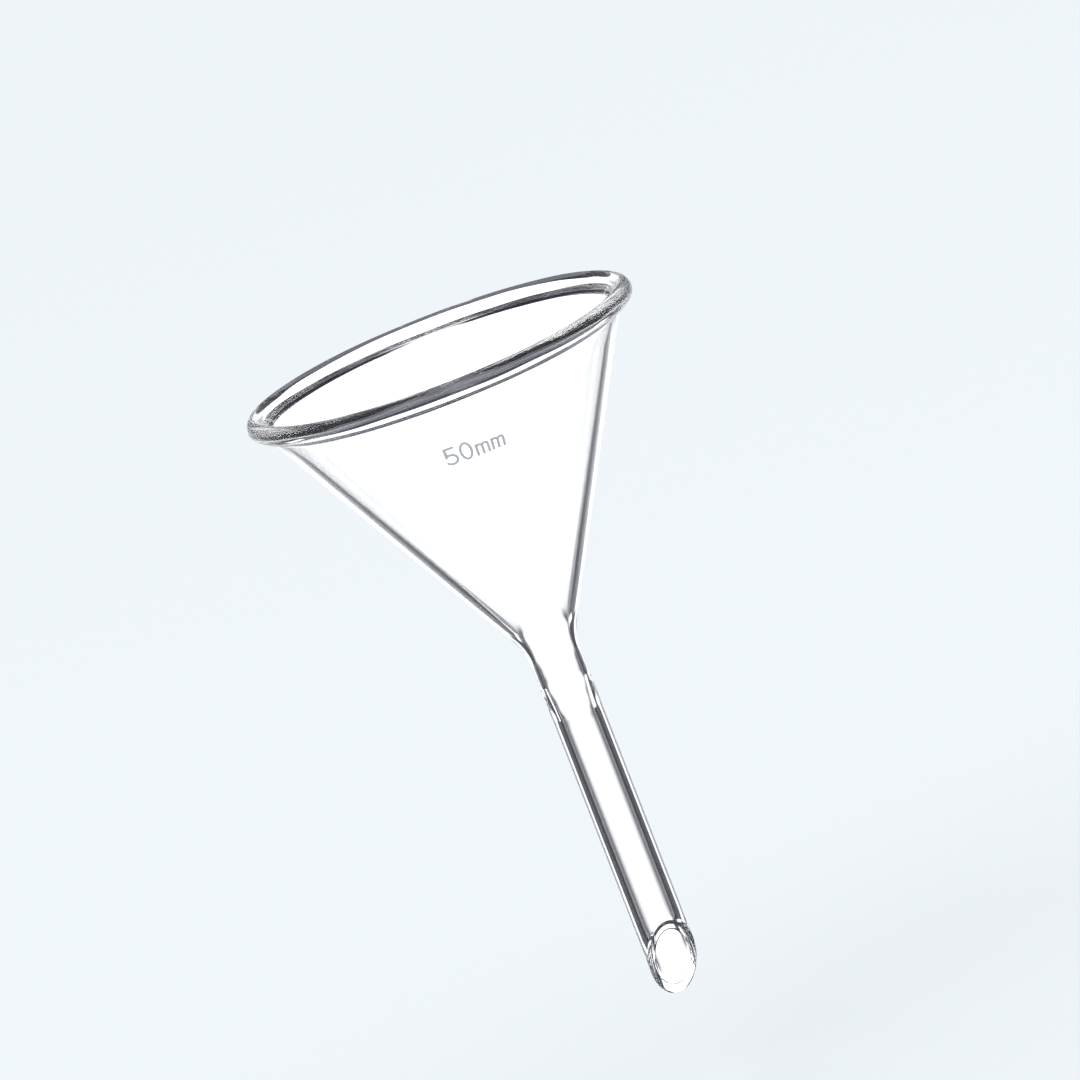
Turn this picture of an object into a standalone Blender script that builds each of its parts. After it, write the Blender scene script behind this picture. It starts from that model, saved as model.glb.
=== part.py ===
"""Short-stem glass laboratory funnel, 50 mm across the mouth, with a printed size mark.

Metres, +Z up. The origin is on the funnel's axis, at the height where a support ring of
SEAT_RADIUS touches the outside of the cone. The mouth opens upward, the stem hangs down
and the size mark faces -Y.

A turned piece is a closed outline of (radius, height) points spun about Z. Each outline
runs down its outer side first. Neighbouring pieces keep SEAM_GAP between them.
"""
import math

import bmesh
import bpy
from mathutils import Matrix, Vector

MM = 0.001

# Bowl and rim
MOUTH_RADIUS = 25.0 * MM             # outside of the rim bead
BEAD_RADIUS = 1.2 * MM               # the bead's round section
CONE_HALF_ANGLE = math.radians(28.5)
BOWL_WALL = 1.2 * MM                 # measured square to the cone
SEAT_RADIUS = 15.0 * MM              # outside of the cone at the origin's height

# Throat, where the cone is drawn down to the stem's diameter
THROAT_TOP = -18.0 * MM
OUTER_BEND_RADIUS = 9.0 * MM
INNER_BEND_RADIUS = 10.0 * MM
NECK_BORE_RADIUS = 2.55 * MM

# Stem
STEM_TOP = -26.6 * MM                # the seal between the throat and the stem tube
STEM_RADIUS = 3.2 * MM
STEM_BORE_RADIUS = 2.15 * MM
BORE_LEAD_IN = 4.5 * MM
BEVEL_CENTRE = -63.9 * MM            # where the slanting cut crosses the axis
BEVEL_TILT = math.radians(59.5)      # from square across the stem
BEVEL_AZIMUTH = math.radians(-77.0)  # the side that the cut faces
CUTTER_SIZE = 40.0 * MM

# Size mark
MARK_BASELINE = 6.7 * MM
MARK_PITCH = 1.95 * MM               # from one character's centre to the next
MARK_THICKNESS = 0.2 * MM
STROKE = 0.32 * MM
DIGIT_HEIGHT = 2.8 * MM
DIGIT_WIDTH = 1.76 * MM
LETTER_HEIGHT = 1.8 * MM
LETTER_WIDTH = 1.73 * MM

SEAM_GAP = 0.3 * MM
SEGMENTS = 64                        # around the axis
BEAD_SIDES = 16
BEND_STEPS = 6
STROKE_STEPS = 10
SHARP_ANGLE = math.radians(25.0)

GLASS_COLOUR = (0.98, 0.99, 1.0, 1.0)
ENAMEL_COLOUR = (0.50, 0.50, 0.51, 1.0)

SLOPE = math.tan(CONE_HALF_ANGLE)
DOWN_WALL = Vector((-math.sin(CONE_HALF_ANGLE), -math.cos(CONE_HALF_ANGLE)))
INTO_WALL = Vector((-math.cos(CONE_HALF_ANGLE), math.sin(CONE_HALF_ANGLE)))
BEAD_CENTRE = Vector((MOUTH_RADIUS - BEAD_RADIUS, (MOUTH_RADIUS - BEAD_RADIUS - SEAT_RADIUS) / SLOPE))


# Outlines ----------------------------------------------------------------------------

def wall_point(height, depth=0.0):
    """The point at a depth into the cone's wall, square in from its outer face at a height."""
    return Vector((SEAT_RADIUS + height * SLOPE, height)) + INTO_WALL * depth


def arc(centre, radius_x, radius_y, start, end, steps):
    """Points along an ellipse's arc, both ends included."""
    angles = [start + (end - start) * i / steps for i in range(steps + 1)]
    return [Vector((centre[0] + radius_x * math.cos(a), centre[1] + radius_y * math.sin(a))) for a in angles]


def cone_height_at(radius, depth):
    """The height where the face at a depth into the cone's wall has a given radius."""
    return (radius - SEAT_RADIUS + depth / math.cos(CONE_HALF_ANGLE)) / SLOPE


def bend(radius, depth, bend_radius):
    """The arc that eases the cone's face at a depth into a straight bore or tube, from the cone down."""
    corner = cone_height_at(radius, depth)
    centre = (radius + bend_radius, corner - bend_radius * math.tan(CONE_HALF_ANGLE / 2))
    return arc(centre, bend_radius, bend_radius, math.pi - CONE_HALF_ANGLE, math.pi, BEND_STEPS)


def bead_outline():
    """A round section whose flat sides touch the true circle, so that the top one is level."""
    corner = BEAD_RADIUS / math.cos(math.pi / BEAD_SIDES)
    half_side = math.pi / BEAD_SIDES
    last = math.pi / 2 - half_side - math.tau * (BEAD_SIDES - 1) / BEAD_SIDES
    return arc(BEAD_CENTRE, corner, corner, math.pi / 2 - half_side, last, BEAD_SIDES - 1)


def bowl_outline():
    """The cone's wall, hollowed at its top to follow the bead and cut square at its bottom."""
    cove_radius = BEAD_RADIUS + SEAM_GAP
    cove_end = math.asin(BOWL_WALL / cove_radius)
    angles = [cove_end * i / BEND_STEPS for i in range(BEND_STEPS, -1, -1)]
    cove = [BEAD_CENTRE + cove_radius * (DOWN_WALL * math.cos(a) + INTO_WALL * math.sin(a)) for a in angles]
    return [wall_point(THROAT_TOP), wall_point(THROAT_TOP, BOWL_WALL)] + cove


def throat_outline():
    """The cone's last stretch, bent inside and out into a straight thin-walled neck."""
    top = THROAT_TOP - SEAM_GAP * math.cos(CONE_HALF_ANGLE)
    outer = bend(STEM_RADIUS, 0.0, OUTER_BEND_RADIUS)
    inner = bend(NECK_BORE_RADIUS, BOWL_WALL, INNER_BEND_RADIUS)
    bottom = [Vector((STEM_RADIUS, STEM_TOP + SEAM_GAP)), Vector((NECK_BORE_RADIUS, STEM_TOP + SEAM_GAP))]
    return [wall_point(top)] + outer + bottom + inner[::-1] + [wall_point(top, BOWL_WALL)]


def stem_outline():
    """A straight tube, longer than the stem, with its bore opened out at the top to meet the neck."""
    bottom = BEVEL_CENTRE - CUTTER_SIZE / 4
    return [
        Vector((STEM_RADIUS, STEM_TOP)),
        Vector((STEM_RADIUS, bottom)),
        Vector((STEM_BORE_RADIUS, bottom)),
        Vector((STEM_BORE_RADIUS, STEM_TOP - BORE_LEAD_IN)),
        Vector((NECK_BORE_RADIUS, STEM_TOP)),
    ]


# Size mark: plain strokes, each character centred on its own baseline ---------------------

def stroked(path):
    """The closed outline of a pen stroke of STROKE width along a path."""
    left, right = [], []
    for i, point in enumerate(path):
        before = (point - path[max(i - 1, 0)]).normalized()
        after = (path[min(i + 1, len(path) - 1)] - point).normalized()
        along = (before + after).normalized()
        side = Vector((-along.y, along.x))
        widen = min(1.0 / max(abs(along.dot(after if after.length else before)), 0.1), 1.4)
        left.append(point + side * STROKE / 2 * widen)
        right.append(point - side * STROKE / 2 * widen)
    return left + right[::-1]


def five_outline():
    """A five: a bar, a leaning upright and an open round bowl, drawn in one stroke."""
    half = (DIGIT_WIDTH - STROKE) / 2
    top = DIGIT_HEIGHT - STROKE / 2
    round_bowl = arc((0.0, half + STROKE / 2), half, half, math.radians(145), math.radians(-145), STROKE_STEPS)
    return stroked([Vector((half * 0.85, top)), Vector((-half * 0.55, top))] + round_bowl)


def zero_outlines():
    """A zero: the outer and the inner oval of its ring."""
    centre = (0.0, DIGIT_HEIGHT / 2)
    last = math.tau * (2 * STROKE_STEPS - 1) / (2 * STROKE_STEPS)
    outer = arc(centre, DIGIT_WIDTH / 2, DIGIT_HEIGHT / 2, 0.0, last, 2 * STROKE_STEPS - 1)
    inner = arc(centre, DIGIT_WIDTH / 2 - STROKE, DIGIT_HEIGHT / 2 - STROKE, 0.0, last, 2 * STROKE_STEPS - 1)
    return outer, inner


def letter_outline():
    """A small m: three uprights joined by two round arches."""
    pitch = (LETTER_WIDTH - STROKE) / 2
    outer_radius = (pitch + STROKE) / 2
    inner_radius = (pitch - STROKE) / 2
    spring = LETTER_HEIGHT - outer_radius
    left_centre, right_centre = (-pitch / 2, spring), (pitch / 2, spring)
    leave_upright = math.acos((STROKE - outer_radius) / outer_radius)
    meet = math.acos(pitch / 2 / outer_radius)
    left_edge, right_edge = -LETTER_WIDTH / 2, LETTER_WIDTH / 2
    top = [Vector((left_edge, 0.0)), Vector((left_edge, LETTER_HEIGHT)), Vector((left_edge + STROKE, LETTER_HEIGHT))]
    left_arch = arc(left_centre, outer_radius, outer_radius, leave_upright, meet, BEND_STEPS)
    right_arch = arc(right_centre, outer_radius, outer_radius, math.pi - meet, 0.0, STROKE_STEPS)[1:]
    right_foot = [Vector((right_edge, 0.0)), Vector((right_edge - STROKE, 0.0))]
    right_hollow = arc(right_centre, inner_radius, inner_radius, 0.0, math.pi, BEND_STEPS)
    middle_foot = [Vector((STROKE / 2, 0.0)), Vector((-STROKE / 2, 0.0))]
    left_hollow = arc(left_centre, inner_radius, inner_radius, 0.0, math.pi, BEND_STEPS)
    left_foot = [Vector((left_edge + STROKE, 0.0))]
    return top + left_arch + right_arch + right_foot + right_hollow + middle_foot + left_hollow + left_foot


# Solids ----------------------------------------------------------------------------------

def finish_mesh(bm, name):
    """A smooth-shaded mesh with outward faces from bm."""
    bmesh.ops.remove_doubles(bm, verts=bm.verts[:], dist=0.001 * MM)
    bmesh.ops.recalc_face_normals(bm, faces=bm.faces[:])
    mesh = bpy.data.meshes.new(name)
    bm.to_mesh(mesh)
    bm.free()
    mesh.shade_smooth()
    mesh.set_sharp_from_angle(angle=SHARP_ANGLE)
    return mesh


def add_piece(name, mesh, material, parent):
    """A named object for a mesh, under the funnel's empty."""
    piece = bpy.data.objects.new(name, mesh)
    bpy.context.collection.objects.link(piece)
    piece.parent = parent
    mesh.materials.append(material)
    return piece


def turned_mesh(name, outline):
    """The outline spun a full turn about the funnel's axis."""
    bm = bmesh.new()
    corners = [bm.verts.new((p.x, 0.0, p.y)) for p in outline]
    for i, corner in enumerate(corners):
        bm.edges.new((corner, corners[(i + 1) % len(corners)]))
    bmesh.ops.spin(
        bm, geom=bm.verts[:] + bm.edges[:], cent=(0, 0, 0), axis=(0, 0, 1),
        angle=math.tau, steps=SEGMENTS, use_merge=True,
    )
    return finish_mesh(bm, name)


def raised_mesh(name, outer, inner=None):
    """A flat character MARK_THICKNESS thick, with a hole where inner is given."""
    bm = bmesh.new()
    rim = [bm.verts.new((p.x, p.y, 0.0)) for p in outer]
    if inner is None:
        bm.faces.new(rim)
    else:
        hole = [bm.verts.new((p.x, p.y, 0.0)) for p in inner]
        for i, corner in enumerate(rim):
            follower = (i + 1) % len(rim)
            bm.faces.new((corner, rim[follower], hole[follower], hole[i]))
    lifted = bmesh.ops.extrude_face_region(bm, geom=bm.faces[:])["geom"]
    raised = [part for part in lifted if isinstance(part, bmesh.types.BMVert)]
    bmesh.ops.translate(bm, verts=raised, vec=(0.0, 0.0, MARK_THICKNESS))
    return finish_mesh(bm, name)


def mark_frame(position):
    """The place of a character on the cone: x along the print, y up the wall, z out of it."""
    foot = wall_point(MARK_BASELINE, -SEAM_GAP)
    azimuth = -math.pi / 2 + position / foot.x
    outward = Vector((math.cos(azimuth), math.sin(azimuth), 0.0))
    along = Vector((-math.sin(azimuth), math.cos(azimuth), 0.0))
    up_wall = outward * math.sin(CONE_HALF_ANGLE) + Vector((0.0, 0.0, math.cos(CONE_HALF_ANGLE)))
    frame = Matrix((along, up_wall, along.cross(up_wall))).transposed().to_4x4()
    frame.translation = outward * foot.x + Vector((0.0, 0.0, foot.y))
    return frame


# Materials -------------------------------------------------------------------------------

def clear_glass(name):
    """Colourless laboratory glass with a fire-polished surface."""
    material = bpy.data.materials.new(name)
    material.use_nodes = True
    surface = material.node_tree.nodes["Principled BSDF"]
    surface.inputs["Base Color"].default_value = GLASS_COLOUR
    surface.inputs["Metallic"].default_value = 0.0
    surface.inputs["Roughness"].default_value = 0.02
    surface.inputs["IOR"].default_value = 1.474
    surface.inputs["Transmission Weight"].default_value = 1.0
    return material


def printed_enamel(name):
    """Pale grey enamel fired on to the glass."""
    material = bpy.data.materials.new(name)
    material.use_nodes = True
    surface = material.node_tree.nodes["Principled BSDF"]
    surface.inputs["Base Color"].default_value = ENAMEL_COLOUR
    surface.inputs["Metallic"].default_value = 0.0
    surface.inputs["Roughness"].default_value = 0.55
    return material


# The object ------------------------------------------------------------------------------

def cut_bevel(stem):
    """Cuts the stem's lower end on a slant with a block whose top face is the cut."""
    bpy.ops.mesh.primitive_cube_add(size=CUTTER_SIZE)
    cutter = bpy.context.active_object
    cutter.name = "bevel_cutter"
    cutter.hide_render = True
    cutter.display_type = 'WIRE'
    rise = Vector((math.cos(BEVEL_AZIMUTH), math.sin(BEVEL_AZIMUTH), 0.0))
    upward = Vector((0.0, 0.0, math.cos(BEVEL_TILT))) - rise * math.sin(BEVEL_TILT)
    cutter.rotation_euler = upward.to_track_quat('Z', 'Y').to_euler()
    cutter.location = Vector((0.0, 0.0, BEVEL_CENTRE)) - upward * CUTTER_SIZE / 2
    cut = stem.modifiers.new("bevel", 'BOOLEAN')
    cut.operation = 'DIFFERENCE'
    cut.solver = 'EXACT'
    cut.object = cutter


def build_glass(funnel):
    """The four sections of glass: rim bead, bowl, throat and stem."""
    outlines = {
        "rim_bead": bead_outline(),
        "bowl": bowl_outline(),
        "throat": throat_outline(),
        "stem": stem_outline(),
    }
    for name, outline in outlines.items():
        piece = add_piece(name, turned_mesh(name, outline), clear_glass(name + "_glass"), funnel)
        if name == "stem":
            cut_bevel(piece)


def build_size_mark(funnel):
    """The nominal mouth size in millimetres, one printed character to an object."""
    meshes = [
        raised_mesh("size_mark_5", five_outline()),
        raised_mesh("size_mark_0", *zero_outlines()),
        raised_mesh("size_mark_m_left", letter_outline()),
        raised_mesh("size_mark_m_right", letter_outline()),
    ]
    for i, mesh in enumerate(meshes):
        character = add_piece(mesh.name, mesh, printed_enamel(mesh.name + "_enamel"), funnel)
        character.matrix_world = mark_frame((i - (len(meshes) - 1) / 2) * MARK_PITCH)


def main():
    for old in list(bpy.data.objects):
        bpy.data.objects.remove(old, do_unlink=True)
    funnel = bpy.data.objects.new("funnel", None)
    bpy.context.collection.objects.link(funnel)
    build_glass(funnel)
    build_size_mark(funnel)


main()
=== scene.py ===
"""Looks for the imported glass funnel: one continuous piece of clear glass and four printed characters."""
import math

import bmesh
import bpy
import numpy as np
from mathutils import Matrix, Vector


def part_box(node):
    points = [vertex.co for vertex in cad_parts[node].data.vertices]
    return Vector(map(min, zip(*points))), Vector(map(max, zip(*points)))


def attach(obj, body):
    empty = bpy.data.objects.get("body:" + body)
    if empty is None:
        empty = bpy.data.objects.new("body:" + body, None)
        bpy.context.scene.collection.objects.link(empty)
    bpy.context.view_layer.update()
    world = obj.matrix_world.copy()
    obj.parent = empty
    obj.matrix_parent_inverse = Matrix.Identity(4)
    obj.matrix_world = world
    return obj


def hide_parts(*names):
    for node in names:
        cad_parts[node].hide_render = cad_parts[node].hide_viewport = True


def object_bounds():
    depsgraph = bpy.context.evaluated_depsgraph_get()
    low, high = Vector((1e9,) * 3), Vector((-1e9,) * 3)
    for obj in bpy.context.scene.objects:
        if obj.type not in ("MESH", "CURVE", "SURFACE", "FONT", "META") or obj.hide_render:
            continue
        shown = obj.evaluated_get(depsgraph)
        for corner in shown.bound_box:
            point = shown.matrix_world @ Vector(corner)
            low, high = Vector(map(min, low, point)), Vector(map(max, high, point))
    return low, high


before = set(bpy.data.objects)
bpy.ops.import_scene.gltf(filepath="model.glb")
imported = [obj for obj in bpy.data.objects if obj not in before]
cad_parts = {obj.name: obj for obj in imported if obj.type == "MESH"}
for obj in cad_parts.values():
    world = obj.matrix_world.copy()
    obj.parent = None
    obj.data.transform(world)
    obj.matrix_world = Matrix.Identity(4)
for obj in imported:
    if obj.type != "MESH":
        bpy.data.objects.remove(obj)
cad_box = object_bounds()

MM = 0.001
ROOT = "root"

# Camera
CAMERA_ELEVATION = math.radians(11.2294)
CAMERA_ROLL = math.radians(21.2914)
CAMERA_DISTANCE = 1500.0 * MM
CAMERA_TARGET = Vector((3.3673, 0.0, -9.3599)) * MM
CAMERA_LENS = 410.15
SENSOR_WIDTH = 36.0

# Glass, with the CAD's own sizes where a node's box gives them
CONE_HALF_ANGLE = math.radians(28.5)
SEAT_RADIUS = 15.0 * MM
BOWL_WALL = 1.2 * MM
MOUTH_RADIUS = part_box("rim_bead")[1].x
BEAD_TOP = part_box("rim_bead")[1].z
BEAD_RADIUS = 1.2 * MM
CREASE_RADIUS = 1.6 * MM             # the fillet where the bead meets the outside of the cone
OUTER_BEND_RADIUS = 9.0 * MM
INNER_BEND_RADIUS = 10.0 * MM
NECK_BORE_RADIUS = 2.55 * MM
STEM_TOP = -26.6 * MM
STEM_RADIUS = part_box("stem")[1].x
STEM_BORE_RADIUS = 2.15 * MM
BORE_LEAD_IN = 4.5 * MM
BEVEL_CENTRE = -63.9 * MM
BEVEL_TILT = math.radians(59.5)
BEVEL_AZIMUTH = math.radians(-77.0)
SHEAR_START = -48.0 * MM              # above this the rings of the stem are level
EDGE_RADIUS = 0.22 * MM               # the fire-polished edges of the cut end
DISH = 0.25 * MM                      # how far the cut face sinks between its two melted edges
SEGMENTS = 288
EDGE_STEPS = 8
LEAD_IN_STEPS = 20
LEAD_IN_EASE = 0.2                    # how gently the narrowing bore starts and ends; 0 is a plain taper
FACE_STEPS = 16
STRAIGHT_STEPS = [24, 16, 1, 16, 3, 24]   # divisions of the straight stretch after each curved run

SLOPE = math.tan(CONE_HALF_ANGLE)
DOWN_WALL = Vector((-math.sin(CONE_HALF_ANGLE), -math.cos(CONE_HALF_ANGLE)))
INTO_WALL = Vector((-math.cos(CONE_HALF_ANGLE), math.sin(CONE_HALF_ANGLE)))
BEAD_CENTRE = Vector((MOUTH_RADIUS - BEAD_RADIUS, BEAD_TOP - BEAD_RADIUS))
BEAD_WAVES = [
    # the flame-worked bead's unevenness: size, waves around the rim, waves around the bead's section, start
    (0.020 * MM, 2, 0, 0.6),
    (0.012 * MM, 5, 1, 2.1),
    (0.007 * MM, 9, 3, 4.0),
    (0.005 * MM, 16, 5, 1.2),
]
WAVES_END = 3.0                       # the waves have died out this many bead radii below the bead's centre

# Printed size mark
PRINT_THICKNESS = 0.05 * MM
PRINT_LIFT = 0.01 * MM
STROKE = 0.32 * MM
DIGIT_HEIGHT = 2.8 * MM
DIGIT_WIDTH = 1.76 * MM
ZERO_WIDTH = 1.58 * MM                # a touch narrower than the 5
LETTER_HEIGHT = 1.8 * MM
LETTER_WIDTH = 1.73 * MM
MARK_PITCH = 1.95 * MM
MARK_BASELINE = 6.7 * MM

# Studio
FLOOR_DROP = 12.0 * MM                # below the tip of the stem
FLOOR_RADIUS = 2.5
BACKDROP = (0.84, 0.89, 0.92, 1.0)


# Outlines ----------------------------------------------------------------------------

def arc(centre, radius, start, end, steps):
    """Points along a circle's arc, both ends included."""
    angles = [start + (end - start) * i / steps for i in range(steps + 1)]
    return [Vector((centre[0] + radius * math.cos(a), centre[1] + radius * math.sin(a))) for a in angles]


def line(start, end, steps):
    """Points along a straight line, without its two ends."""
    return [start + (end - start) * i / steps for i in range(1, steps)]


def cone_height_at(radius, depth):
    """The height where the face at a depth into the cone's wall has a given radius."""
    return (radius - SEAT_RADIUS + depth / math.cos(CONE_HALF_ANGLE)) / SLOPE


def bend(radius, depth, bend_radius, steps):
    """The arc that eases the cone's face at a depth into a straight bore or tube, from the cone down."""
    corner = cone_height_at(radius, depth)
    centre = (radius + bend_radius, corner - bend_radius * math.tan(CONE_HALF_ANGLE / 2))
    return arc(centre, bend_radius, math.pi - CONE_HALF_ANGLE, math.pi, steps)


def glass_outline():
    """The glass's closed section, from the outside of the cut end up, over the bead and down the inside."""
    foot = BEVEL_CENTRE
    outer_corner = (STEM_RADIUS - EDGE_RADIUS, foot + EDGE_RADIUS)
    outer_edge = arc(outer_corner, EDGE_RADIUS, -math.pi / 2, 0.0, EDGE_STEPS)
    outer_bend = bend(STEM_RADIUS, 0.0, OUTER_BEND_RADIUS, 18)[::-1]
    reach = math.sqrt((BEAD_RADIUS + CREASE_RADIUS) ** 2 - CREASE_RADIUS ** 2)
    crease_centre = BEAD_CENTRE + DOWN_WALL * reach - INTO_WALL * CREASE_RADIUS
    turn = math.acos(CREASE_RADIUS / (BEAD_RADIUS + CREASE_RADIUS))
    into = math.pi - CONE_HALF_ANGLE
    crease = arc(crease_centre, CREASE_RADIUS, into, into - turn, 8)
    bead_start = into - turn - math.pi
    bead = arc(BEAD_CENTRE, BEAD_RADIUS, bead_start, into, 72)
    inner_bend = bend(NECK_BORE_RADIUS, BOWL_WALL, INNER_BEND_RADIUS, 14)
    lead_in = []
    for i in range(LEAD_IN_STEPS + 1):
        share = i / LEAD_IN_STEPS
        ease = share - math.sin(math.tau * share) / math.tau * LEAD_IN_EASE
        radius = NECK_BORE_RADIUS + (STEM_BORE_RADIUS - NECK_BORE_RADIUS) * ease
        lead_in.append(Vector((radius, STEM_TOP - BORE_LEAD_IN * share)))
    inner_corner = (STEM_BORE_RADIUS + EDGE_RADIUS, foot + EDGE_RADIUS)
    inner_edge = arc(inner_corner, EDGE_RADIUS, math.pi, 1.5 * math.pi, EDGE_STEPS)
    face = []
    for i in range(1, FACE_STEPS):
        radius = inner_edge[-1].x + (outer_edge[0].x - inner_edge[-1].x) * i / FACE_STEPS
        face.append(Vector((radius, foot + DISH * math.sin(math.pi * math.sqrt(i / FACE_STEPS)))))
    runs = [outer_edge, outer_bend, crease, bead[1:], inner_bend, lead_in, inner_edge + face]
    outline = []
    for run, follower, steps in zip(runs, runs[1:], STRAIGHT_STEPS):
        outline += run + line(run[-1], follower[0], steps)
    return outline + runs[-1]


def glass_mesh():
    """The outline spun about the axis, its lower end sheared to the slant of the cut."""
    outline = glass_outline()
    angles = np.linspace(0.0, math.tau, SEGMENTS, endpoint=False)
    radii = np.array([p.x for p in outline])[:, None]
    heights = np.array([p.y for p in outline])[:, None]
    near_rim = np.clip((heights - BEAD_CENTRE.y) / BEAD_RADIUS + WAVES_END, 0.0, 1.0)
    around = np.arctan2(heights - BEAD_CENTRE.y, radii - BEAD_CENTRE.x)
    waves = sum(
        size * np.sin(turns * angles + twist * around + start)
        for size, turns, twist, start in BEAD_WAVES
    )
    radii = radii + near_rim * waves * np.cos(around)
    heights = heights + near_rim * waves * np.sin(around)
    x = radii * np.cos(angles)
    y = radii * np.sin(angles)
    share = np.clip((SHEAR_START - heights) / (SHEAR_START - BEVEL_CENTRE), 0.0, 1.0)
    weight = share * share * (3.0 - 2.0 * share)
    rise = x * math.cos(BEVEL_AZIMUTH) + y * math.sin(BEVEL_AZIMUTH)
    z = heights + weight * math.tan(BEVEL_TILT) * rise
    corners = np.stack([x, y, z], -1).reshape(-1, 3)
    rows = len(outline)
    faces = []
    for i in range(rows):
        below, above = i * SEGMENTS, (i + 1) % rows * SEGMENTS
        for j in range(SEGMENTS):
            k = (j + 1) % SEGMENTS
            faces.append((below + j, below + k, above + k, above + j))
    mesh = bpy.data.meshes.new("funnel_glass")
    mesh.from_pydata([tuple(c) for c in corners], [], faces)
    mesh.update()
    mesh.shade_smooth()
    return mesh


# Size mark: plain strokes, each character centred on its own baseline ---------------------

def stroked(path):
    """The closed outline of a round-ended pen stroke of STROKE width along a path."""
    half = STROKE / 2
    left, right = [], []
    for i, point in enumerate(path):
        before = (point - path[max(i - 1, 0)]).normalized()
        after = (path[min(i + 1, len(path) - 1)] - point).normalized()
        along = (before + after).normalized()
        side = Vector((-along.y, along.x))
        widen = min(1.0 / max(abs(along.dot(after if after.length else before)), 0.1), 1.4)
        left.append(point + side * half * widen)
        right.append(point - side * half * widen)
    ahead = path[-1] - path[-2]
    behind = path[0] - path[1]
    heading, tail = math.atan2(ahead.y, ahead.x), math.atan2(behind.y, behind.x)
    end = arc(path[-1], half, heading + math.pi / 2, heading - math.pi / 2, 6)[1:-1]
    start = arc(path[0], half, tail + math.pi / 2, tail - math.pi / 2, 6)[1:-1]
    return left + end + right[::-1] + start


def five_rings():
    """Each of these three gives a character's outer ring and its hole, or None."""
    half = (DIGIT_WIDTH - STROKE) / 2
    top = DIGIT_HEIGHT - STROKE / 2
    bowl = arc((0.0, half + STROKE / 2), half, math.radians(145), math.radians(-145), 28)
    return stroked([Vector((half * 0.85, top)), Vector((-half * 0.55, top))] + bowl), None


def zero_rings():
    outer, inner = [], []
    for i in range(48):
        across, upright = math.cos(math.tau * i / 48), math.sin(math.tau * i / 48)
        for ring, inset in ((outer, 0.0), (inner, STROKE)):
            wide, tall = ZERO_WIDTH / 2 - inset, DIGIT_HEIGHT / 2 - inset
            ring.append(Vector((wide * across, DIGIT_HEIGHT / 2 + tall * upright)))
    return outer, inner


def letter_rings():
    pitch = (LETTER_WIDTH - STROKE) / 2
    outer, inner = (pitch + STROKE) / 2, (pitch - STROKE) / 2
    spring = LETTER_HEIGHT - outer
    left, right = (-pitch / 2, spring), (pitch / 2, spring)
    edge = LETTER_WIDTH / 2
    leave, meet = math.acos((STROKE - outer) / outer), math.acos(pitch / 2 / outer)
    ring = [Vector((-edge, 0.0)), Vector((-edge, LETTER_HEIGHT)), Vector((STROKE - edge, LETTER_HEIGHT))]
    ring += arc(left, outer, leave, meet, 12) + arc(right, outer, math.pi - meet, 0.0, 16)[1:]
    ring += [Vector((edge, 0.0)), Vector((edge - STROKE, 0.0))] + arc(right, inner, 0.0, math.pi, 12)
    ring += [Vector((STROKE / 2, 0.0)), Vector((-STROKE / 2, 0.0))] + arc(left, inner, 0.0, math.pi, 12)
    return ring + [Vector((STROKE - edge, 0.0))], None


def printed_mesh(name, outer, inner, position):
    """A thin layer of enamel in the shape of the rings, bent around the outside of the cone."""
    bm = bmesh.new()
    rim = [bm.verts.new((p.x, p.y, 0.0)) for p in outer]
    if inner is None:
        bm.faces.new(rim)
    else:
        hole = [bm.verts.new((p.x, p.y, 0.0)) for p in inner]
        for i, corner in enumerate(rim):
            follower = (i + 1) % len(rim)
            bm.faces.new((corner, rim[follower], hole[follower], hole[i]))
    bmesh.ops.triangulate(bm, faces=bm.faces[:])
    lifted = bmesh.ops.extrude_face_region(bm, geom=bm.faces[:])["geom"]
    raised = [part for part in lifted if isinstance(part, bmesh.types.BMVert)]
    bmesh.ops.translate(bm, verts=raised, vec=(0.0, 0.0, PRINT_THICKNESS))
    foot = SEAT_RADIUS + MARK_BASELINE * SLOPE
    for corner in bm.verts:
        up, out = corner.co.y, corner.co.z + PRINT_LIFT
        radius = foot + up * math.sin(CONE_HALF_ANGLE) + out * math.cos(CONE_HALF_ANGLE)
        height = MARK_BASELINE + up * math.cos(CONE_HALF_ANGLE) - out * math.sin(CONE_HALF_ANGLE)
        azimuth = (position + corner.co.x) / foot - math.pi / 2
        corner.co = (radius * math.cos(azimuth), radius * math.sin(azimuth), height)
    bmesh.ops.recalc_face_normals(bm, faces=bm.faces[:])
    mesh = bpy.data.meshes.new(name)
    bm.to_mesh(mesh)
    bm.free()
    return mesh


# Materials -------------------------------------------------------------------------------

class Nodes:
    """A short way to write a node tree."""

    def __init__(self, tree):
        self.tree = tree
        tree.nodes.clear()

    def add(self, kind, inputs=None, **settings):
        node = self.tree.nodes.new(kind)
        for name, value in settings.items():
            setattr(node, name, value)
        for name, value in (inputs or {}).items():
            if isinstance(value, bpy.types.NodeSocket):
                self.tree.links.new(value, node.inputs[name])
            else:
                node.inputs[name].default_value = value
        return node

    def math(self, operation, *values, clamp=False):
        inputs = dict(enumerate(values))
        return self.add("ShaderNodeMath", inputs, operation=operation, use_clamp=clamp).outputs[0]


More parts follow.
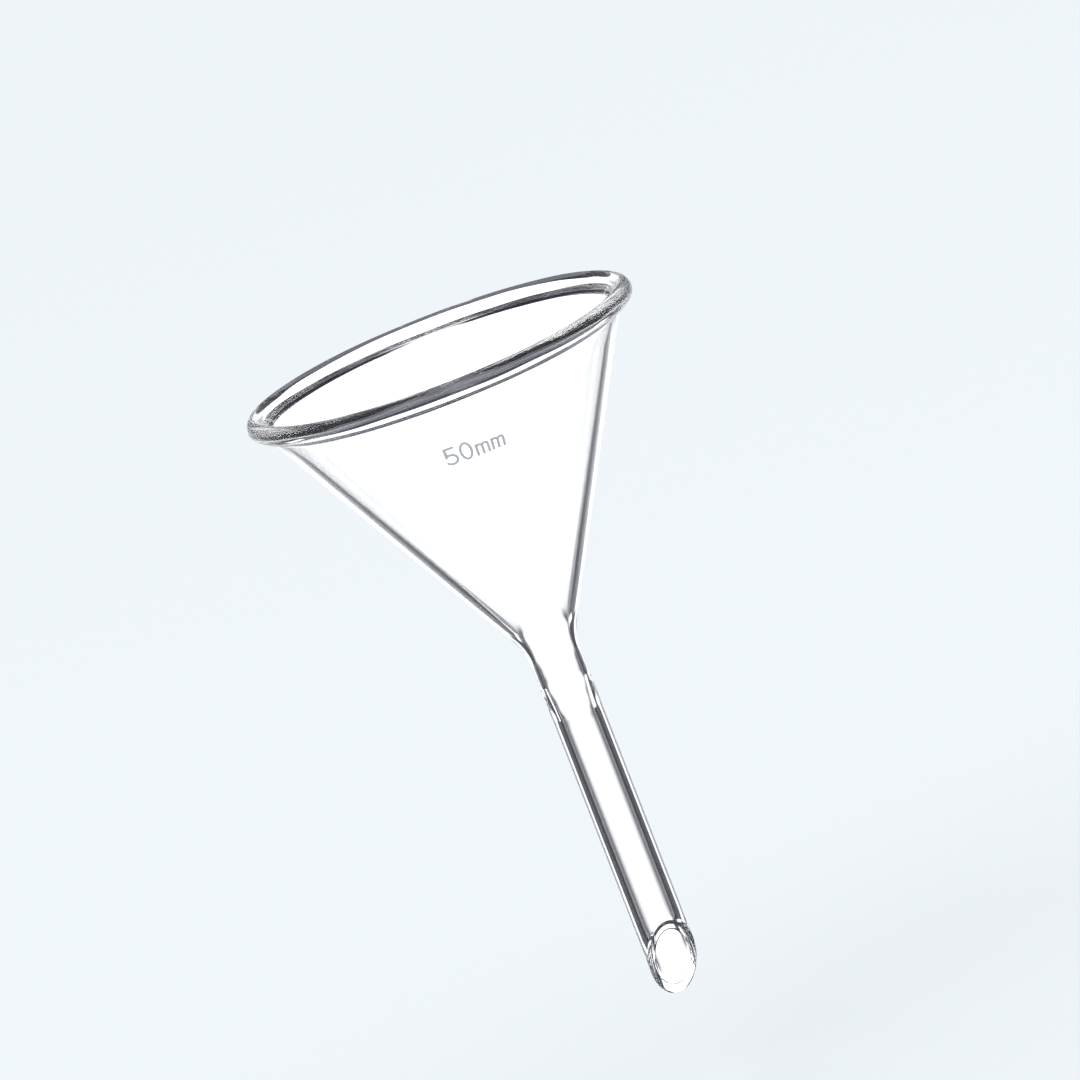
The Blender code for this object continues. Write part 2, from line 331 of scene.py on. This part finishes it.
def glass_material():
    """Clear borosilicate: a hair of tint, drawn-glass cords along the axis and a fire-polished skin."""
    material = bpy.data.materials.new("clear_glass")
    material.use_nodes = True
    nodes = Nodes(material.node_tree)
    place = nodes.add("ShaderNodeTexCoord").outputs["Object"]
    drawn = nodes.add("ShaderNodeMapping", {"Vector": place, "Scale": (900.0, 900.0, 60.0)}).outputs[0]
    cords = nodes.add("ShaderNodeTexNoise", {"Vector": drawn, "Scale": 1.0, "Detail": 2.0}).outputs[0]
    haze = nodes.add("ShaderNodeTexNoise", {"Vector": place, "Scale": 220.0, "Detail": 3.0}).outputs[0]
    tint = blend(nodes, haze, (0.985, 0.992, 0.998), (0.998, 0.999, 1.0))
    rough = nodes.add("ShaderNodeMapRange", {"Value": haze, "To Min": 0.0, "To Max": 0.012}).outputs[0]
    skin = nodes.add("ShaderNodeBump", {"Height": cords, "Strength": 0.12, "Distance": 0.01 * MM}).outputs[0]
    surface = nodes.add("ShaderNodeBsdfPrincipled", {
        "Base Color": tint, "Roughness": rough, "Normal": skin, "IOR": 1.474, "Transmission Weight": 0.995,
    })
    nodes.add("ShaderNodeOutputMaterial", {"Surface": surface.outputs[0]})
    return material


def enamel_material():
    """Grey enamel with a dusting of pinholes and uneven gloss."""
    material = bpy.data.materials.new("printed_enamel")
    material.use_nodes = True
    nodes = Nodes(material.node_tree)
    place = nodes.add("ShaderNodeTexCoord").outputs["Object"]
    grain = nodes.add("ShaderNodeTexNoise", {"Vector": place, "Scale": 9000.0, "Detail": 4.0}).outputs[0]
    patches = nodes.add("ShaderNodeTexNoise", {"Vector": place, "Scale": 1500.0, "Detail": 2.0}).outputs[0]
    thin = ramp(nodes, grain, 0.62, 0.75)
    ink = blend(nodes, patches, (0.40, 0.40, 0.42), (0.52, 0.52, 0.54))
    colour = blend(nodes, thin, ink, (0.70, 0.70, 0.72))
    rough = nodes.add("ShaderNodeMapRange", {"Value": patches, "To Min": 0.45, "To Max": 0.7}).outputs[0]
    skin = nodes.add("ShaderNodeBump", {"Height": grain, "Strength": 0.3, "Distance": 0.02 * MM}).outputs[0]
    surface = nodes.add("ShaderNodeBsdfPrincipled", {"Base Color": colour, "Roughness": rough, "Normal": skin})
    nodes.add("ShaderNodeOutputMaterial", {"Surface": surface.outputs[0]})
    return material


# Studio ----------------------------------------------------------------------------------

DARK = (0.012, 0.012, 0.022)
GREY = (0.17, 0.17, 0.2)
WHITE = (1.6, 1.62, 1.65)
PANELS = [
    # azimuth, half width where it is brightest and where it has faded, lowest and highest elevation.
    # Clear glass looks clear only where one of these lies behind it, and dark in between.
    (0, 2, 21, -20.5, 4.5),           # behind the funnel, seen from the front
    (-90, 10, 20, -22, 10),           # from either side
    (90, 10, 20, -22, 10),
    (-165, 12, 22, 12, 48),           # high behind the camera
    (-47, 3, 8, -34, -17),            # from above on the right
    (135, 8, 20, -28, -6),            # from behind on the left
    (180, 30, 55, -30, 8),            # from behind
    (60, 14, 24, -30, -19),           # from above on the left
]
SHEEN = (0.30, 0.30, 0.32)            # what the outside of the glass mirrors
OVERHEAD = 70                         # the dome is white above this elevation
SOFT = 1.4                            # degrees over which a panel's lower and upper edges fade
LEVEL = -13.2                         # the panel in front is wider above and below this elevation
WIDENING = 1.6
LOW_DARK, LOW_GREY = -31, -35         # the dark dome turns grey between these elevations
LIGHT_BOUNCES = 48                    # a ray inside the bead turns many times


def ramp(nodes, value, low, high):
    """0 below low and 1 above high, or the other way round, with a smooth step between."""
    inputs = {"Value": value, "From Min": low, "From Max": high}
    return nodes.add("ShaderNodeMapRange", inputs, interpolation_type='SMOOTHSTEP').outputs[0]


def blend(nodes, factor, low, high):
    """A mix of two colours, each a socket or a tuple."""
    mix = nodes.add("ShaderNodeMix", data_type='RGBA')
    for socket, value in ((mix.inputs[0], factor), (mix.inputs[6], low), (mix.inputs[7], high)):
        if isinstance(value, bpy.types.NodeSocket):
            nodes.tree.links.new(value, socket)
        else:
            socket.default_value = (*value[:3], 1.0)
    return mix.outputs[2]


def studio_world():
    """A dark dome with white panels for the glass; the camera itself sees an even pale backdrop."""
    world = bpy.data.worlds.new("studio")
    bpy.context.scene.world = world
    world.use_nodes = True
    world.cycles.sampling_method = 'NONE'
    nodes = Nodes(world.node_tree)
    ray = nodes.add("ShaderNodeTexCoord").outputs["Generated"]
    unit = nodes.add("ShaderNodeVectorMath", {0: ray}, operation='NORMALIZE').outputs[0]
    height = nodes.add("ShaderNodeSeparateXYZ", {0: unit}).outputs["Z"]
    elevation = nodes.math('DEGREES', nodes.math('ARCSINE', height))
    total = None
    off_level = nodes.math('ABSOLUTE', nodes.math('SUBTRACT', LEVEL, elevation))
    for azimuth, full, faded, low, high in PANELS:
        a = math.radians(azimuth)
        dots = []
        for axis in ((math.sin(a), math.cos(a), 0.0), (math.cos(a), -math.sin(a), 0.0)):
            dot = nodes.add("ShaderNodeVectorMath", {0: unit, 1: axis}, operation='DOT_PRODUCT')
            dots.append(dot.outputs["Value"])
        aside = nodes.math('ABSOLUTE', nodes.math('DEGREES', nodes.math('ARCTAN2', dots[1], dots[0])))
        if azimuth == 0:
            aside = nodes.math('SUBTRACT', aside, nodes.math('MULTIPLY', off_level, WIDENING))
        across = ramp(nodes, aside, faded, full)
        under = ramp(nodes, elevation, low - SOFT, low + SOFT)
        over = ramp(nodes, elevation, high + SOFT, high - SOFT)
        one = nodes.math('MULTIPLY', nodes.math('MULTIPLY', across, under), over)
        total = one if total is None else nodes.math('MAXIMUM', total, one)
    total = nodes.math('MAXIMUM', total, ramp(nodes, elevation, OVERHEAD - SOFT, OVERHEAD + SOFT))
    base = blend(nodes, ramp(nodes, elevation, LOW_DARK, LOW_GREY), DARK, GREY)
    dome = blend(nodes, total, base, WHITE)
    path = nodes.add("ShaderNodeLightPath")
    mirrored = blend(nodes, path.outputs["Is Reflection Ray"], dome, SHEEN)
    soft = blend(nodes, path.outputs["Is Diffuse Ray"], mirrored, (1.0, 1.0, 1.0))
    seen = blend(nodes, path.outputs["Is Camera Ray"], soft, BACKDROP)
    background = nodes.add("ShaderNodeBackground", {"Color": seen})
    nodes.add("ShaderNodeOutputWorld", {"Surface": background.outputs[0]})


# The glowing band and card: light panels behind the funnel that only the glass shows
COLLAR_RADIUS = 28.0 * MM
COLLAR_LOW = 13.8 * MM
COLLAR_HIGH = 16.0 * MM
COLLAR_REACH = math.radians(66.0)
COLLAR_STEPS = 32
COLLAR_TAPER = 4                      # the band narrows over the last quarter of each half
COLLAR_TIP = 0.05                     # so that it doesn't quite reach zero height
TIP_CARD_BACK = 30.0 * MM
TIP_CARD = [(x * MM, z * MM) for x, z in ((-5.0, -66.5), (5.0, -66.5), (5.0, -61.0), (-5.0, -61.0))]
LAMP_PLACE = (-0.5, -0.5, 1.0)
LAMP_SIZE = 0.9
LAMP_POWER = 1.2


def glowing_collar():
    """A white band behind the far rim and a card behind the tip that glow like light panels, met only by light
    through the glass.
    """
    bm = bmesh.new()
    for i in range(COLLAR_STEPS + 1):
        along = i / (COLLAR_STEPS // 2) - 1
        azimuth = COLLAR_REACH * along
        x, y = COLLAR_RADIUS * math.sin(azimuth), COLLAR_RADIUS * math.cos(azimuth)
        taper = min(1.0, (1 + COLLAR_TIP - abs(along)) * COLLAR_TAPER)
        bm.verts.new((x, y, COLLAR_LOW))
        bm.verts.new((x, y, COLLAR_LOW + (COLLAR_HIGH - COLLAR_LOW) * taper))
    bm.verts.ensure_lookup_table()
    for i in range(0, 2 * COLLAR_STEPS, 2):
        bm.faces.new([bm.verts[j] for j in (i, i + 2, i + 3, i + 1)])
    bm.faces.new([bm.verts.new((x, TIP_CARD_BACK, z)) for x, z in TIP_CARD])
    mesh = bpy.data.meshes.new("glowing_collar")
    bm.to_mesh(mesh)
    bm.free()
    band = bpy.data.objects.new("glowing_collar", mesh)
    bpy.context.collection.objects.link(band)
    band.visible_camera = False
    band.visible_diffuse = False
    band.visible_glossy = False
    band.visible_shadow = False
    material = bpy.data.materials.new("glowing_collar")
    material.use_nodes = True
    material.cycles.emission_sampling = 'NONE'
    nodes = Nodes(material.node_tree)
    # glows white: a light panel seen through the glass, though it is no lamp
    surface = nodes.add("ShaderNodeEmission", {"Color": (*WHITE, 1.0)})
    nodes.add("ShaderNodeOutputMaterial", {"Surface": surface.outputs[0]})
    mesh.materials.append(material)


def floor():
    bm = bmesh.new()
    bmesh.ops.create_circle(bm, cap_ends=True, segments=96, radius=FLOOR_RADIUS)
    mesh = bpy.data.meshes.new("floor")
    bm.to_mesh(mesh)
    bm.free()
    disc = bpy.data.objects.new("floor", mesh)
    bpy.context.collection.objects.link(disc)
    disc.location.z = cad_box[0].z - FLOOR_DROP
    disc.visible_transmission = False
    material = bpy.data.materials.new("floor")
    material.use_nodes = True
    nodes = Nodes(material.node_tree)
    surface = nodes.add("ShaderNodeBsdfDiffuse", {"Color": BACKDROP})
    nodes.add("ShaderNodeOutputMaterial", {"Surface": surface.outputs[0]})
    mesh.materials.append(material)


def camera():
    data = bpy.data.cameras.new("camera")
    data.lens = CAMERA_LENS
    data.sensor_width = SENSOR_WIDTH
    data.clip_start = 0.05
    data.clip_end = 6.0
    thing = bpy.data.objects.new("camera", data)
    bpy.context.collection.objects.link(thing)
    ahead = Vector((0.0, math.cos(CAMERA_ELEVATION), -math.sin(CAMERA_ELEVATION)))
    right = Vector((1.0, 0.0, 0.0))
    up = right.cross(ahead)
    turned_right = right * math.cos(CAMERA_ROLL) - up * math.sin(CAMERA_ROLL)
    turned_up = right * math.sin(CAMERA_ROLL) + up * math.cos(CAMERA_ROLL)
    place = Matrix((turned_right, turned_up, -ahead)).transposed().to_4x4()
    place.translation = CAMERA_TARGET - ahead * CAMERA_DISTANCE
    thing.matrix_world = place
    bpy.context.scene.camera = thing


def lamp():
    """A large soft light above the camera's left, for the print and the floor; the glass doesn't show it."""
    data = bpy.data.lights.new("lamp", 'AREA')
    data.shape = 'DISK'
    data.size = LAMP_SIZE
    data.energy = LAMP_POWER
    thing = bpy.data.objects.new("lamp", data)
    bpy.context.collection.objects.link(thing)
    thing.location = LAMP_PLACE
    thing.rotation_euler = (-thing.location).to_track_quat('-Z', 'Y').to_euler()
    thing.visible_camera = False
    thing.visible_glossy = False
    thing.visible_transmission = False


# The object ------------------------------------------------------------------------------

def add_piece(name, mesh, material, slot, *nodes):
    """Adds a piece that stands in for some of the CAD's nodes."""
    piece = bpy.data.objects.new(name, mesh)
    bpy.context.collection.objects.link(piece)
    mesh.materials.append(material)
    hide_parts(*nodes)
    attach(piece, ROOT)


add_piece("funnel_glass", glass_mesh(), glass_material(), "clear_glass", "rim_bead", "bowl", "throat", "stem")
enamel = enamel_material()
CHARACTERS = [
    ("size_mark_5", five_rings()),
    ("size_mark_0", zero_rings()),
    ("size_mark_m_left", letter_rings()),
    ("size_mark_m_right", letter_rings()),
]
for i, (node, rings) in enumerate(CHARACTERS):
    print_name = node.replace("size_mark", "print")
    mesh = printed_mesh(print_name, *rings, (i - 1.5) * MARK_PITCH)
    add_piece(print_name, mesh, enamel, "printed_enamel", node)

studio_world()
glowing_collar()
lamp()
floor()
camera()
bpy.context.scene.view_settings.view_transform = 'Standard'
bpy.context.scene.cycles.max_bounces = LIGHT_BOUNCES
bpy.context.scene.cycles.transmission_bounces = LIGHT_BOUNCES
bpy.context.scene.cycles.glossy_bounces = LIGHT_BOUNCES
